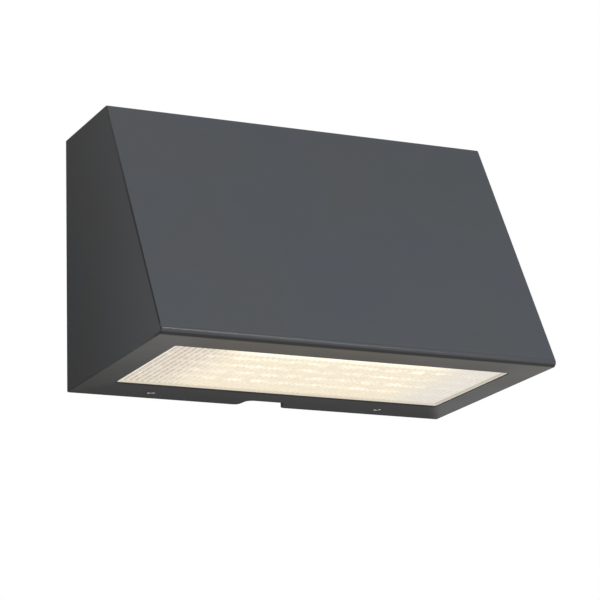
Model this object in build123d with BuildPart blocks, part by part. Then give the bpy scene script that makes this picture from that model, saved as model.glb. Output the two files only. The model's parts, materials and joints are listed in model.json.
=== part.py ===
from build123d import *
import math
import os

os.makedirs("parts", exist_ok=True)

# All sizes are in millimetres. The wall is the plane y = 0, the front of the light faces -Y and +Z is up.
# The origin is midway between the two wall slots, halfway up the housing.

# Housing casting
housing_width = 260.0
housing_height = 165.0
top_depth = 72.0
bottom_depth = 158.0
wall = 2.5
floor_thickness = 3.0
nose_radius = 3.0
top_edge_radius = 1.5
side_edge_radius = 1.0

# Window in the underside
window_side_margin = 19.0
window_front_margin = 26.5
window_rear_margin = 34.0
window_corner_radius = 1.5

# Drain and cable notch in the rear edge of the underside
notch_mouth = 29.5
notch_root = 26.0
notch_depth = 13.5
notch_mouth_radius = 4.0
notch_root_radius = 5.0

# Rear seal and the rim behind it
seal_thickness = 1.5
seal_width = 5.0
rim_depth = 5.0

# Wall plate, a folded steel sheet
plate_width = 190.0
plate_height = 116.0
plate_thickness = 2.0
plate_corner_radius = 6.0
plate_lip_depth = 8.0
bend_radius = 1.0
strap_width = 24.0
strap_reach = 19.0
wall_slot_spacing = 120.0
wall_slot_length = 14.0
wall_slot_width = 5.2
hang_pad_depth = 20.0
hang_pad_drop = 0.5

# Cable entry in the wall plate
cable_bore = 9.0
grommet_neck = 16.0
grommet_flange = 22.0
grommet_flange_thickness = 2.0
grommet_height = 22.0
dish_depth = 3.0
dish_wall = 2.0
dish_gap = 1.0

# Retaining screws and their clamp nuts
clamp_spacing = 158.0
clamp_setback = 12.5
clamp_thread = 3.0
clamp_pitch = 0.5
clamp_turns = 6
clamp_head = 5.5
clamp_head_height = 3.0
clamp_head_recess = 0.4
clamp_socket = 2.5
clamp_socket_depth = 1.6
clamp_boss = 11.0
clamp_boss_height = 9.0
clamp_slot_width = 4.0
nut_width = 8.0
nut_thickness = 3.0
nut_heel = 4.0
guide_gap = 1.5
guide_depth = 4.0
guide_thickness = 2.0

# Diffuser panel and its seal
diffuser_recess = 0.4
diffuser_panel = 3.0
diffuser_flange = 5.0
diffuser_flange_thickness = 2.0
diffuser_rim = 3.0
diffuser_gap = 0.4
diffuser_seal_thickness = 1.0

# Light box
reflector_wall = 1.5
reflector_apron = 1.0
reflector_ear = 9.0
reflector_screw_spacing = 55.0
reflector_boss = 6.5
reflector_boss_gap = 0.8

# Light source
led_pitch = 17.0
led_edge_margin = 12.0
led_size = 3.0
led_thickness = 0.8
board_end_inset = 19.0
board_side_inset = 10.75
board_thickness = 1.6
board_overlap = 2.0
board_tab_length = 18.0
board_tab_width = 24.0
board_screw_inset = 6.5
pad_thickness = 0.5
connector_length = 9.0
connector_width = 11.0
connector_height = 4.5

# Heat tray above the light source
tray_height = 33.0
tray_inset = 2.75
tray_thickness = 2.0
tray_lip = 6.0
tray_gap = 0.5
tray_post = 9.0
tray_post_inset = 16.0
tray_post_bite = 0.5

# Small screws inside the light
screw_diameter = 3.0
screw_head = 5.5
screw_head_height = 2.1
screw_drive_width = 0.8
screw_drive_depth = 1.2
screw_grip = 6.0

# Driver
driver_length = 118.0
driver_width = 42.0
driver_height = 26.0
driver_wall = 1.5
driver_inset = 28.0
driver_ear = 9.0
driver_ear_width = 14.0
driver_ear_thickness = 2.0
driver_standoff = 3.0
driver_standoff_size = 5.0
driver_board_gap = 0.5
driver_board_thickness = 1.6
driver_lid_lip = 3.0
driver_lid_gap = 0.2
transformer_size = 18.0
capacitor_diameter = 10.0
choke_diameter = 12.0
chip_size = 5.0
chip_height = 2.0
component_pitch = 16.0

# Terminal block and earth point
terminal_pitch = 11.0
terminal_depth = 22.0
terminal_height = 16.0
terminal_inset = 61.0
terminal_setback = 16.0
terminal_tube = 5.6
terminal_tube_bore = 3.2
terminal_tube_inset = 1.0
terminal_screw = 3.4
terminal_screw_length = 5.0
terminal_screw_spacing = 11.0
terminal_well = 4.4
earth_inset = 21.0
earth_post_across = 7.0
earth_thread = 4.0
earth_ring = 9.0
earth_ring_thickness = 0.8
earth_barrel = 3.6
earth_barrel_length = 6.0

# Leads
lead_diameter = 2.4
lead_height = 9.0
lead_spread = 12.0
lead_bend = 10.0
led_lead_diameter = 1.8
led_lead_pitch = 5.0
led_lead_bend = 6.0
led_lead_reach = 7.0
lead_tail = 3.0

# Clearances
screw_clearance = 0.05
thread_clearance = 0.03
lead_clearance = 0.05
turning_clearance = 0.2
head_clearance = 0.35
guide_clearance = 0.3
seat_clearance = 0.05

# Values worked out from the sizes above
top_z = housing_height / 2
bottom_z = -housing_height / 2
inner_half_width = housing_width / 2 - wall
slope = (bottom_depth - top_depth) / housing_height
slope_stretch = math.hypot(1, slope)


def level(height):
    # The z of a height above the underside
    return bottom_z + height


def front_y(height, inset):
    # The y of the sloped front at a height above the underside, moved in square to the slope
    return slope * height - bottom_depth + inset * slope_stretch


floor_z = level(floor_thickness)
window_length = housing_width - 2 * window_side_margin
window_width = bottom_depth - window_front_margin - window_rear_margin
window_y = -(window_rear_margin + window_width / 2)

rim_inner_half = inner_half_width - seal_width
rim_inner_top = top_z - wall - seal_width
hang_z = rim_inner_top - hang_pad_drop

clamp_x = clamp_spacing / 2
clamp_y = -clamp_setback
clamp_boss_z = level(clamp_boss_height)
nut_z = clamp_boss_z + plate_thickness
nut_travel = clamp_pitch * clamp_turns
guide_rear_y = -(strap_reach + guide_gap)
guide_front_y = guide_rear_y - guide_depth
guide_top_z = nut_z + nut_thickness + nut_travel
clamp_seat_z = level(clamp_head_recess + clamp_head_height)

seat_z = floor_z + diffuser_seal_thickness
flange_z = seat_z + diffuser_flange_thickness
flange_length = window_length + 2 * diffuser_flange
flange_width = window_width + 2 * diffuser_flange
ear_reach = diffuser_flange + reflector_boss_gap + reflector_boss / 2
ear_rows_y = (window_y - window_width / 2 - ear_reach, window_y + window_width / 2 + ear_reach)
ear_points = [(x, y) for x in (-reflector_screw_spacing, 0, reflector_screw_spacing) for y in ear_rows_y]

tray_z = level(tray_height)
tray_top_z = tray_z + tray_thickness
tray_half_width = inner_half_width - tray_gap
tray_depth = window_width - 2 * tray_inset
tray_rear_y = window_y + tray_depth / 2
tray_front_y = window_y - tray_depth / 2
post_x = inner_half_width + tray_post_bite - tray_post / 2
post_rows_y = (tray_front_y + tray_post_inset, tray_rear_y - tray_post_inset)
post_points = [(x, y) for x in (-post_x, post_x) for y in post_rows_y]

board_length = window_length - 2 * board_end_inset
board_width = window_width - 2 * board_side_inset
led_columns = 1 + math.floor((board_length - 2 * led_edge_margin) / led_pitch)
led_rows = 1 + math.floor((board_width - 2 * led_edge_margin) / led_pitch)
board_top_z = tray_z - pad_thickness
board_z = board_top_z - board_thickness
board_screw_x = board_length / 2 - board_screw_inset
board_screw_y = board_width / 2 - board_screw_inset
board_screw_rows_y = (window_y - board_screw_y, window_y, window_y + board_screw_y)
board_screw_points = [(x, y) for x in (-board_screw_x, board_screw_x) for y in board_screw_rows_y]
tab_end_x = -(board_length / 2 + board_tab_length)
connector_x = tab_end_x + board_tab_length / 2
connector_z = board_z - connector_height / 2
led_lead_x = tab_end_x - led_lead_reach
led_lead_rows_y = (window_y - led_lead_pitch / 2, window_y + led_lead_pitch / 2)

driver_left_x = driver_inset - tray_half_width
driver_right_x = driver_left_x + driver_length
driver_x = (driver_left_x + driver_right_x) / 2
driver_base_height = driver_height - driver_wall
driver_ear_points = [
    (driver_left_x - driver_ear / 2, window_y),
    (driver_right_x + driver_ear / 2, window_y),
]
driver_board_z = tray_top_z + driver_wall + driver_standoff
driver_parts_z = driver_board_z + driver_board_thickness
driver_parts_height = tray_top_z + driver_base_height - driver_lid_lip - driver_parts_z
driver_inner_length = driver_length - 2 * driver_wall
driver_inner_width = driver_width - 2 * driver_wall

lead_z = tray_top_z + lead_height
terminal_x = tray_half_width - terminal_inset
terminal_y = tray_rear_y - terminal_setback
terminal_front_y = terminal_y - terminal_depth / 2
terminal_top_z = tray_top_z + terminal_height
terminal_length = 3 * terminal_pitch
pole_points_x = [terminal_x + i * terminal_pitch for i in (-1, 0, 1)]
terminal_fixing_points = [(terminal_x + i * terminal_pitch / 2, terminal_y) for i in (-1, 1)]
terminal_screw_rows_y = [terminal_y + i * terminal_screw_spacing / 2 for i in (-1, 1)]
terminal_screw_points = [(x, y) for x in pole_points_x for y in terminal_screw_rows_y]
live_y = window_y + lead_spread / 2
neutral_y = window_y - lead_spread / 2
earth_x = tray_half_width - earth_inset
earth_y = terminal_front_y - lead_spread
earth_seat_z = lead_z - earth_barrel / 2


def rear_arch(outer_half_width, outer_top_z):
    # An arch over the top and down both sides of the rear opening, open at the foot
    return [
        (-outer_half_width, floor_z),
        (-outer_half_width, outer_top_z),
        (outer_half_width, outer_top_z),
        (outer_half_width, floor_z),
        (rim_inner_half, floor_z),
        (rim_inner_half, rim_inner_top),
        (-rim_inner_half, rim_inner_top),
        (-rim_inner_half, floor_z),
    ]


def pan_screw(shank_length):
    # A pan head screw with a cross drive: the seat of its head is at z = 0 and the shank points down
    with BuildPart() as screw:
        Cylinder(screw_head / 2, screw_head_height, align=(Align.CENTER, Align.CENTER, Align.MIN))
        fillet(screw.edges().sort_by(Axis.Z)[-1], screw_head_height / 2)
        with BuildSketch(Plane.XY.offset(screw_head_height)):
            Rectangle(screw_head / 2, screw_drive_width)
            Rectangle(screw_drive_width, screw_head / 2)
        extrude(amount=-screw_drive_depth, mode=Mode.SUBTRACT)
        Cylinder(screw_diameter / 2, shank_length, align=(Align.CENTER, Align.CENTER, Align.MAX))
    return screw.part


def lead(points, diameter, bend):
    # A round lead along straight runs joined by arcs
    with BuildPart() as wire:
        with BuildLine() as route:
            FilletPolyline(*points, radius=bend)
        with BuildSketch(Plane(origin=route.line @ 0, z_dir=route.line % 0)):
            Circle(diameter / 2)
        sweep(path=route.line)
    run = sum(edge.length for edge in route.edges())
    expected = run * math.pi * diameter**2 / 4
    print("lead bend", bend, "volume", round(wire.part.volume, 1), "of", round(expected, 1))
    return wire


# Housing: a wedge with a sloped front, a flat top and an open back
with BuildPart() as housing:
    with BuildSketch(Plane.YZ):
        with BuildLine():
            Polyline(
                (0, bottom_z),
                (-bottom_depth, bottom_z),
                (-top_depth, top_z),
                (0, top_z),
                close=True,
            )
        make_face()
    extrude(amount=housing_width / 2, both=True)
    fillet(housing.edges().filter_by(Axis.X).sort_by(Axis.Y)[0], nose_radius)
    fillet(housing.edges().filter_by(Axis.X).group_by(Axis.Z)[-1].sort_by(Axis.Y)[0], top_edge_radius)
    side_outline = housing.faces().filter_by(Axis.X).edges()
    fillet(side_outline.filter_by(lambda edge: edge.center().Y < -side_edge_radius), side_edge_radius)

    # Cavity
    with BuildSketch(Plane.YZ):
        with BuildLine():
            Polyline(
                (0, floor_z),
                (front_y(floor_thickness, wall), floor_z),
                (front_y(housing_height - wall, wall), top_z - wall),
                (0, top_z - wall),
                close=True,
            )
        make_face()
    extrude(amount=inner_half_width, both=True, mode=Mode.SUBTRACT)

    # Rim that backs the rear seal
    with BuildSketch(Plane.XZ.offset(seal_thickness)):
        with BuildLine():
            Polyline(*rear_arch(inner_half_width + wall / 2, top_z - wall / 2), close=True)
        make_face()
    extrude(amount=rim_depth)

    # Pads that rest on the tabs of the wall plate
    with Locations((-clamp_x, -seal_thickness, hang_z), (clamp_x, -seal_thickness, hang_z)):
        Box(
            strap_width,
            hang_pad_depth - seal_thickness,
            top_z - wall / 2 - hang_z,
            align=(Align.CENTER, Align.MAX, Align.MIN),
        )

    # Bosses for the retaining screws, with two guides that keep each clamp nut from turning
    with BuildSketch(Plane.XY.offset(floor_z)):
        with Locations((-clamp_x, clamp_y), (clamp_x, clamp_y)):
            Circle(clamp_boss / 2)
    extrude(amount=clamp_boss_z - floor_z)
    with BuildSketch(Plane.XY.offset(floor_z)):
        guide_offset = nut_width / 2 + guide_clearance + guide_thickness / 2
        guide_y = (guide_rear_y + guide_front_y) / 2
        with Locations((-clamp_x, guide_y), (clamp_x, guide_y)):
            with Locations((-guide_offset, 0), (guide_offset, 0)):
                Rectangle(guide_thickness, guide_depth)
    extrude(amount=guide_top_z - floor_z)

    # Bosses for the light box and posts for the heat tray
    with BuildSketch(Plane.XY.offset(floor_z)):
        with Locations(*ear_points):
            Circle(reflector_boss / 2)
    extrude(amount=flange_z - floor_z)
    with BuildSketch(Plane.XY.offset(floor_z)):
        with Locations(*post_points):
            Circle(tray_post / 2)
    extrude(amount=tray_z - floor_z)

    # Window, notch and screw holes
    with BuildSketch(Plane((0, window_y, bottom_z))):
        RectangleRounded(window_length, window_width, window_corner_radius)
    extrude(amount=floor_thickness, mode=Mode.SUBTRACT)
    with BuildSketch(Plane.XY.offset(bottom_z)) as notch:
        with BuildLine():
            Polyline(
                (-notch_mouth / 2, 0),
                (-notch_root / 2, -notch_depth),
                (notch_root / 2, -notch_depth),
                (notch_mouth / 2, 0),
                close=True,
            )
        make_face()
        fillet(notch.vertices().group_by(Axis.Y)[0], notch_root_radius)
    extrude(amount=floor_thickness, mode=Mode.SUBTRACT)
    rear_corners = housing.edges().filter_by(Axis.Z).group_by(Axis.Y)[-1]
    fillet(rear_corners.filter_by(lambda edge: abs(edge.center().X) < notch_mouth), notch_mouth_radius)
    with Locations(*[Location((x, clamp_y, bottom_z), (180, 0, 0)) for x in (-clamp_x, clamp_x)]):
        CounterBoreHole(
            clamp_thread / 2 + turning_clearance,
            clamp_head / 2 + head_clearance,
            clamp_head_recess + clamp_head_height,
            depth=clamp_boss_height,
        )
    with Locations(*[(x, y, flange_z) for x, y in ear_points]):
        Hole(screw_diameter / 2 + screw_clearance, depth=screw_grip - screw_head_height)
    with Locations(*[(x, y, tray_z) for x, y in post_points]):
        Hole(screw_diameter / 2 + screw_clearance, depth=screw_grip)

housing.part.label = "housing"
export_step(housing.part, "parts/housing.step")

# Rear seal: a foam strip round the top and sides of the open back
with BuildPart() as rear_seal:
    with BuildSketch(Plane.XZ):
        with BuildLine():
            Polyline(*rear_arch(inner_half_width, top_z - wall), close=True)
        make_face()
    extrude(amount=seal_thickness)

rear_seal.part.label = "rear_seal"
export_step(rear_seal.part, "parts/rear_seal.step")

# Wall plate: a panel with two straps, each folded forward into a tab at the top and a slotted foot below
with BuildPart() as wall_plate:
    with BuildSketch(Plane.XZ):
        RectangleRounded(plate_width, plate_height, plate_corner_radius)
    extrude(amount=plate_thickness)
    for strap_x in (-clamp_x, clamp_x):
        with BuildSketch(Plane.YZ.offset(strap_x)) as strap:
            with BuildLine():
                Polyline(
                    (0, clamp_boss_z),
                    (-strap_reach, clamp_boss_z),
                    (-strap_reach, nut_z),
                    (-plate_thickness, nut_z),
                    (-plate_thickness, hang_z - plate_thickness),
                    (-strap_reach, hang_z - plate_thickness),
                    (-strap_reach, hang_z),
                    (0, hang_z),
                    close=True,
                )
            make_face()
            fillet(strap.vertices().group_by(Axis.X)[1], bend_radius)
            fillet(strap.vertices().group_by(Axis.X)[-1], bend_radius + plate_thickness)
        extrude(amount=strap_width / 2, both=True)

    # Stiffening lips along the panel between the straps
    lip_length = clamp_spacing - strap_width - 2 * plate_corner_radius
    with Locations((0, 0, plate_height / 2)):
        Box(lip_length, plate_lip_depth, plate_thickness, align=(Align.CENTER, Align.MAX, Align.MAX))
    with Locations((0, 0, -plate_height / 2)):
        Box(lip_length, plate_lip_depth, plate_thickness, align=(Align.CENTER, Align.MAX, Align.MIN))

    # Pressed dish that sets the grommet back from the wall
    dish_radius = grommet_flange / 2 + dish_gap
    with BuildSketch(Plane.XZ):
        with Locations((0, grommet_height)):
            Circle(dish_radius + dish_wall)
    extrude(amount=dish_depth + plate_thickness)
    with BuildSketch(Plane.XZ):
        with Locations((0, grommet_height)):
            Circle(dish_radius)
    extrude(amount=dish_depth, mode=Mode.SUBTRACT)
    with BuildSketch(Plane.XZ):
        with Locations((0, grommet_height)):
            Circle(grommet_neck / 2)
        with Locations((-wall_slot_spacing / 2, 0), (wall_slot_spacing / 2, 0)):
            SlotOverall(wall_slot_length, wall_slot_width)
    extrude(amount=dish_depth + plate_thickness, mode=Mode.SUBTRACT)

    # Slots in the feet, open to the front so that the screws can leave
    with BuildSketch(Plane.XY.offset(clamp_boss_z)):
        with Locations((-clamp_x, clamp_y), (clamp_x, clamp_y)):
            Circle(clamp_slot_width / 2)
            Rectangle(clamp_slot_width, strap_reach, align=(Align.CENTER, Align.MAX))
    extrude(amount=plate_thickness, mode=Mode.SUBTRACT)

wall_plate.part.label = "wall_plate"
export_step(wall_plate.part, "parts/wall_plate.step")

# Cable grommet: a rubber bush that grips the floor of the dish
with BuildPart() as cable_grommet:
    neck_y = -dish_depth
    with BuildSketch(Plane((0, neck_y + grommet_flange_thickness, grommet_height), z_dir=(0, -1, 0))):
        Circle(grommet_flange / 2)
    extrude(amount=grommet_flange_thickness)
    with BuildSketch(Plane((0, neck_y, grommet_height), z_dir=(0, -1, 0))):
        Circle(grommet_neck / 2 - seat_clearance)
    extrude(amount=plate_thickness)
    with BuildSketch(Plane((0, neck_y - plate_thickness, grommet_height), z_dir=(0, -1, 0))):
        Circle(grommet_flange / 2)
    extrude(amount=grommet_flange_thickness)
    rim_edges = cable_grommet.edges().filter_by(GeomType.CIRCLE).group_by(Axis.Y)
    fillet(rim_edges[0], grommet_flange_thickness / 2)
    with BuildSketch(Plane((0, neck_y + grommet_flange_thickness, grommet_height), z_dir=(0, -1, 0))):
        Circle(cable_bore / 2)
    extrude(amount=plate_thickness + 2 * grommet_flange_thickness, mode=Mode.SUBTRACT)

cable_grommet.part.label = "cable_grommet"
export_step(cable_grommet.part, "parts/cable_grommet.step")

# Retaining screws from below, each with a clamp nut above the foot of the wall plate
for side, side_x in (("left", -clamp_x), ("right", clamp_x)):
    with BuildPart() as retaining_screw:
        with BuildSketch(Plane((side_x, clamp_y, level(clamp_head_recess)))):
            Circle(clamp_head / 2)
        extrude(amount=clamp_head_height)
        with BuildSketch(Plane((side_x, clamp_y, level(clamp_head_recess)))):
            RegularPolygon(clamp_socket / 2, 6, major_radius=False)
        extrude(amount=clamp_socket_depth, mode=Mode.SUBTRACT)
        with BuildSketch(Plane((side_x, clamp_y, clamp_seat_z))):
            Circle(clamp_thread / 2)
        extrude(amount=guide_top_z - clamp_seat_z)

    retaining_screw.part.label = f"{side}_retaining_screw"
    export_step(retaining_screw.part, f"parts/{side}_retaining_screw.step")

    with BuildPart() as clamp_nut:
        with BuildSketch(Plane((side_x, clamp_y + nut_heel, nut_z))):
            Rectangle(nut_width, clamp_y + nut_heel - guide_front_y, align=(Align.CENTER, Align.MAX))
        extrude(amount=nut_thickness)
        with Locations((side_x, clamp_y, nut_z + nut_thickness)):
            Hole(clamp_thread / 2 + thread_clearance, depth=nut_thickness)

    clamp_nut.part.label = f"{side}_clamp_nut"
    export_step(clamp_nut.part, f"parts/{side}_clamp_nut.step")

# Diffuser seal: a flat silicone frame under the diffuser's flange
with BuildPart() as diffuser_seal:
    with BuildSketch(Plane((0, window_y, floor_z))):
        RectangleRounded(flange_length, flange_width, window_corner_radius + diffuser_flange)
        RectangleRounded(window_length, window_width, window_corner_radius, mode=Mode.SUBTRACT)
    extrude(amount=diffuser_seal_thickness)

diffuser_seal.part.label = "diffuser_seal"
export_step(diffuser_seal.part, "parts/diffuser_seal.step")

# Diffuser: a clear panel that drops into the window, with a flange that lies on the seal
with BuildPart() as diffuser:
    plug_length = window_length - 2 * diffuser_gap
    plug_width = window_width - 2 * diffuser_gap
    with BuildSketch(Plane((0, window_y, level(diffuser_recess)))):
        RectangleRounded(plug_length, plug_width, window_corner_radius)
    extrude(amount=flange_z - level(diffuser_recess))
    with BuildSketch(Plane((0, window_y, seat_z))):
        RectangleRounded(flange_length, flange_width, window_corner_radius + diffuser_flange)
    extrude(amount=diffuser_flange_thickness)
    with BuildSketch(Plane((0, window_y, level(diffuser_recess + diffuser_panel)))):
        Rectangle(plug_length - 2 * diffuser_rim, plug_width - 2 * diffuser_rim)
    extrude(amount=flange_z - level(diffuser_recess + diffuser_panel), mode=Mode.SUBTRACT)

diffuser.part.label = "diffuser"
export_step(diffuser.part, "parts/diffuser.step")

# Reflector: a white light box that tapers from the diffuser up to the board, with ears on the bosses
with BuildPart() as reflector:
    mouth_length = window_length + 2 * reflector_apron
    mouth_width = window_width + 2 * reflector_apron
    crown_length = board_length - 2 * board_overlap
    crown_width = board_width - 2 * board_overlap
    with BuildSketch(Plane((0, window_y, flange_z))):
        Rectangle(mouth_length + 2 * reflector_wall, mouth_width + 2 * reflector_wall)
    with BuildSketch(Plane((0, window_y, board_z))):
        Rectangle(crown_length + 2 * reflector_wall, crown_width + 2 * reflector_wall)
    loft(ruled=True)
    with BuildSketch(Plane.XY.offset(flange_z)):
        with Locations((0, window_y)):
            Rectangle(flange_length, flange_width)
        with Locations(*ear_points):
            Circle(reflector_ear / 2)
        for ear_x, ear_y in ear_points:
            with Locations((ear_x, (ear_y + window_y) / 2)):
                Rectangle(reflector_ear, abs(ear_y - window_y))
    extrude(amount=reflector_wall)
    with BuildSketch(Plane((0, window_y, flange_z))):
        Rectangle(mouth_length, mouth_width)
    with BuildSketch(Plane((0, window_y, board_z))):
        Rectangle(crown_length, crown_width)
    loft(ruled=True, mode=Mode.SUBTRACT)
    with Locations(*[(x, y, flange_z + reflector_wall) for x, y in ear_points]):
        Hole(screw_diameter / 2 + screw_clearance, depth=reflector_wall)

reflector.part.label = "reflector"
export_step(reflector.part, "parts/reflector.step")

ear_screw = pan_screw(screw_grip - screw_head_height)
with BuildPart() as reflector_screws:
    with Locations(*[(x, y, flange_z + reflector_wall) for x, y in ear_points]):
        add(ear_screw)

reflector_screws.part.label = "reflector_screws"
export_step(reflector_screws.part, "parts/reflector_screws.step")

# LED board: hangs under the heat tray, with a tab at the left that carries the connector
with BuildPart() as led_board:
    with BuildSketch(Plane((0, window_y, board_z))):
        Rectangle(board_length, board_width)
        with Locations((tab_end_x, 0)):
            Rectangle(board_tab_length + board_overlap, board_tab_width, align=(Align.MIN, Align.CENTER))
    extrude(amount=board_thickness)
    with Locations(*[(x, y, board_top_z) for x, y in board_screw_points]):
        Hole(screw_diameter / 2 + screw_clearance, depth=board_thickness)

led_board.part.label = "led_board"
export_step(led_board.part, "parts/led_board.step")

with BuildPart() as led_emitters:
    with BuildSketch(Plane((0, window_y, board_z), z_dir=(0, 0, -1))):
        with GridLocations(led_pitch, led_pitch, led_columns, led_rows):
            Rectangle(led_size, led_size)
    extrude(amount=led_thickness)

led_emitters.part.label = "led_emitters"
export_step(led_emitters.part, "parts/led_emitters.step")

with BuildPart() as led_connector:
    with Locations((connector_x, window_y, board_z)):
        Box(
            connector_length,
            connector_width,
            connector_height,
            align=(Align.CENTER, Align.CENTER, Align.MAX),
        )
    for row_y in led_lead_rows_y:
        with Locations(Plane((connector_x - connector_length / 2, row_y, connector_z), z_dir=(-1, 0, 0))):
            Hole(led_lead_diameter / 2 + lead_clearance, depth=lead_tail)

led_connector.part.label = "led_connector"
export_step(led_connector.part, "parts/led_connector.step")

with BuildPart() as thermal_pad:
    with BuildSketch(Plane((0, window_y, board_top_z))):
        Rectangle(board_length, board_width)
    extrude(amount=pad_thickness)
    with Locations(*[(x, y, tray_z) for x, y in board_screw_points]):
        Hole(screw_diameter / 2 + screw_clearance, depth=pad_thickness)

thermal_pad.part.label = "thermal_pad"
export_step(thermal_pad.part, "parts/thermal_pad.step")

# Heat tray: an aluminium sheet on the four posts, with a lip along its front and rear edges
with BuildPart() as heat_tray:
    with BuildSketch(Plane((0, window_y, tray_z))):
        Rectangle(2 * tray_half_width, tray_depth)
        with Locations((-tray_half_width, 0)):
            Rectangle(
                tray_half_width + led_lead_x + led_lead_diameter + lead_tail,
                board_tab_width,
                align=(Align.MIN, Align.CENTER),
                mode=Mode.SUBTRACT,
            )
    extrude(amount=tray_thickness)
    with BuildSketch(Plane.XY.offset(tray_z)):
        with Locations((0, tray_rear_y - tray_thickness / 2), (0, tray_front_y + tray_thickness / 2)):
            Rectangle(2 * tray_half_width, tray_thickness)
    extrude(amount=tray_thickness + tray_lip)
    tray_holes = post_points + board_screw_points + driver_ear_points + terminal_fixing_points
    with Locations(*[(x, y, tray_top_z) for x, y in tray_holes]):
        Hole(screw_diameter / 2 + screw_clearance, depth=tray_thickness)
    with Locations((earth_x, earth_y, tray_top_z)):
        Hole(earth_thread / 2 + screw_clearance, depth=tray_thickness)

heat_tray.part.label = "heat_tray"
export_step(heat_tray.part, "parts/heat_tray.step")

post_screw = pan_screw(tray_thickness + screw_grip)
with BuildPart() as tray_screws:
    with Locations(*[(x, y, tray_top_z) for x, y in post_points]):
        add(post_screw)

tray_screws.part.label = "tray_screws"
export_step(tray_screws.part, "parts/tray_screws.step")

board_screw = pan_screw(board_thickness + pad_thickness + tray_thickness)
with BuildPart() as led_board_screws:
    with Locations(*[Location((x, y, board_z), (180, 0, 0)) for x, y in board_screw_points]):
        add(board_screw)

led_board_screws.part.label = "led_board_screws"
export_step(led_board_screws.part, "parts/led_board_screws.step")

# Driver: a base with an ear at each end, a cover, and a circuit board on four standoffs
with BuildPart() as driver_base:
    with BuildSketch(Plane((driver_x, window_y, tray_top_z))):
        Rectangle(driver_length, driver_width)
    extrude(amount=driver_base_height)
    with BuildSketch(Plane((driver_x, window_y, tray_top_z + driver_wall))):
        Rectangle(driver_inner_length, driver_inner_width)
    extrude(amount=driver_base_height - driver_wall, mode=Mode.SUBTRACT)
    with BuildSketch(Plane((driver_x, window_y, tray_top_z + driver_wall))):
        with GridLocations(
            driver_inner_length - driver_standoff_size,
            driver_inner_width - driver_standoff_size,
            2,
            2,
        ):
            Rectangle(driver_standoff_size, driver_standoff_size)
    extrude(amount=driver_standoff)
    with Locations((driver_left_x, window_y, tray_top_z)):
        Box(
            driver_ear,
            driver_ear_width,
            driver_ear_thickness,
            align=(Align.MAX, Align.CENTER, Align.MIN),
        )
    with Locations((driver_right_x, window_y, tray_top_z)):
        Box(
            driver_ear,
            driver_ear_width,
            driver_ear_thickness,
            align=(Align.MIN, Align.CENTER, Align.MIN),
        )
    with Locations(*[(x, y, tray_top_z + driver_ear_thickness) for x, y in driver_ear_points]):
        Hole(screw_diameter / 2 + screw_clearance, depth=driver_ear_thickness)
    for row_y in led_lead_rows_y:
        with Locations(Plane((driver_left_x, row_y, lead_z), z_dir=(-1, 0, 0))):
            Hole(led_lead_diameter / 2 + lead_clearance, depth=driver_wall)
    for row_y in (live_y, neutral_y):
        with Locations(Plane((driver_right_x, row_y, lead_z), z_dir=(1, 0, 0))):
            Hole(lead_diameter / 2 + lead_clearance, depth=driver_wall)

driver_base.part.label = "driver_base"
export_step(driver_base.part, "parts/driver_base.step")

with BuildPart() as driver_cover:
    with BuildSketch(Plane((driver_x, window_y, tray_top_z + driver_base_height))):
        Rectangle(driver_length, driver_width)
    extrude(amount=driver_wall)
    fillet(driver_cover.edges().group_by(Axis.Z)[-1], driver_wall / 2)
    with BuildSketch(Plane((driver_x, window_y, tray_top_z + driver_base_height))):
        Rectangle(driver_inner_length - 2 * driver_lid_gap, driver_inner_width - 2 * driver_lid_gap)
        Rectangle(
            driver_inner_length - 2 * (driver_lid_gap + driver_wall),
            driver_inner_width - 2 * (driver_lid_gap + driver_wall),
            mode=Mode.SUBTRACT,
        )
    extrude(amount=-driver_lid_lip)

driver_cover.part.label = "driver_cover"
export_step(driver_cover.part, "parts/driver_cover.step")

with BuildPart() as driver_board:
    with BuildSketch(Plane((driver_x, window_y, driver_board_z))):
        Rectangle(driver_inner_length - 2 * driver_board_gap, driver_inner_width - 2 * driver_board_gap)
    extrude(amount=driver_board_thickness)

driver_board.part.label = "driver_board"
export_step(driver_board.part, "parts/driver_board.step")

# Driver components: a transformer, two reservoir capacitors, a choke and a row of small parts
with BuildPart() as driver_components:
    with BuildSketch(Plane((driver_x, window_y, driver_parts_z))):
        Rectangle(transformer_size, transformer_size)
        with Locations((component_pitch, 0), (-component_pitch, 0)):
            Circle(capacitor_diameter / 2)
    extrude(amount=driver_parts_height)
    with BuildSketch(Plane((driver_x, window_y, driver_parts_z))):
        with Locations((2 * component_pitch, 0)):
            Circle(choke_diameter / 2)
    extrude(amount=driver_parts_height / 2)
    with BuildSketch(Plane((driver_x - 2 * component_pitch, window_y, driver_parts_z))):
        with GridLocations(2 * chip_size, 2 * chip_size, 2, 2):
            Rectangle(chip_size, chip_size)
    extrude(amount=chip_height)

driver_components.part.label = "driver_components"
export_step(driver_components.part, "parts/driver_components.step")

ear_fixing = pan_screw(driver_ear_thickness + tray_thickness)
with BuildPart() as driver_screws:
    with Locations(*[(x, y, tray_top_z + driver_ear_thickness) for x, y in driver_ear_points]):
        add(ear_fixing)

driver_screws.part.label = "driver_screws"
export_step(driver_screws.part, "parts/driver_screws.step")

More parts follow.
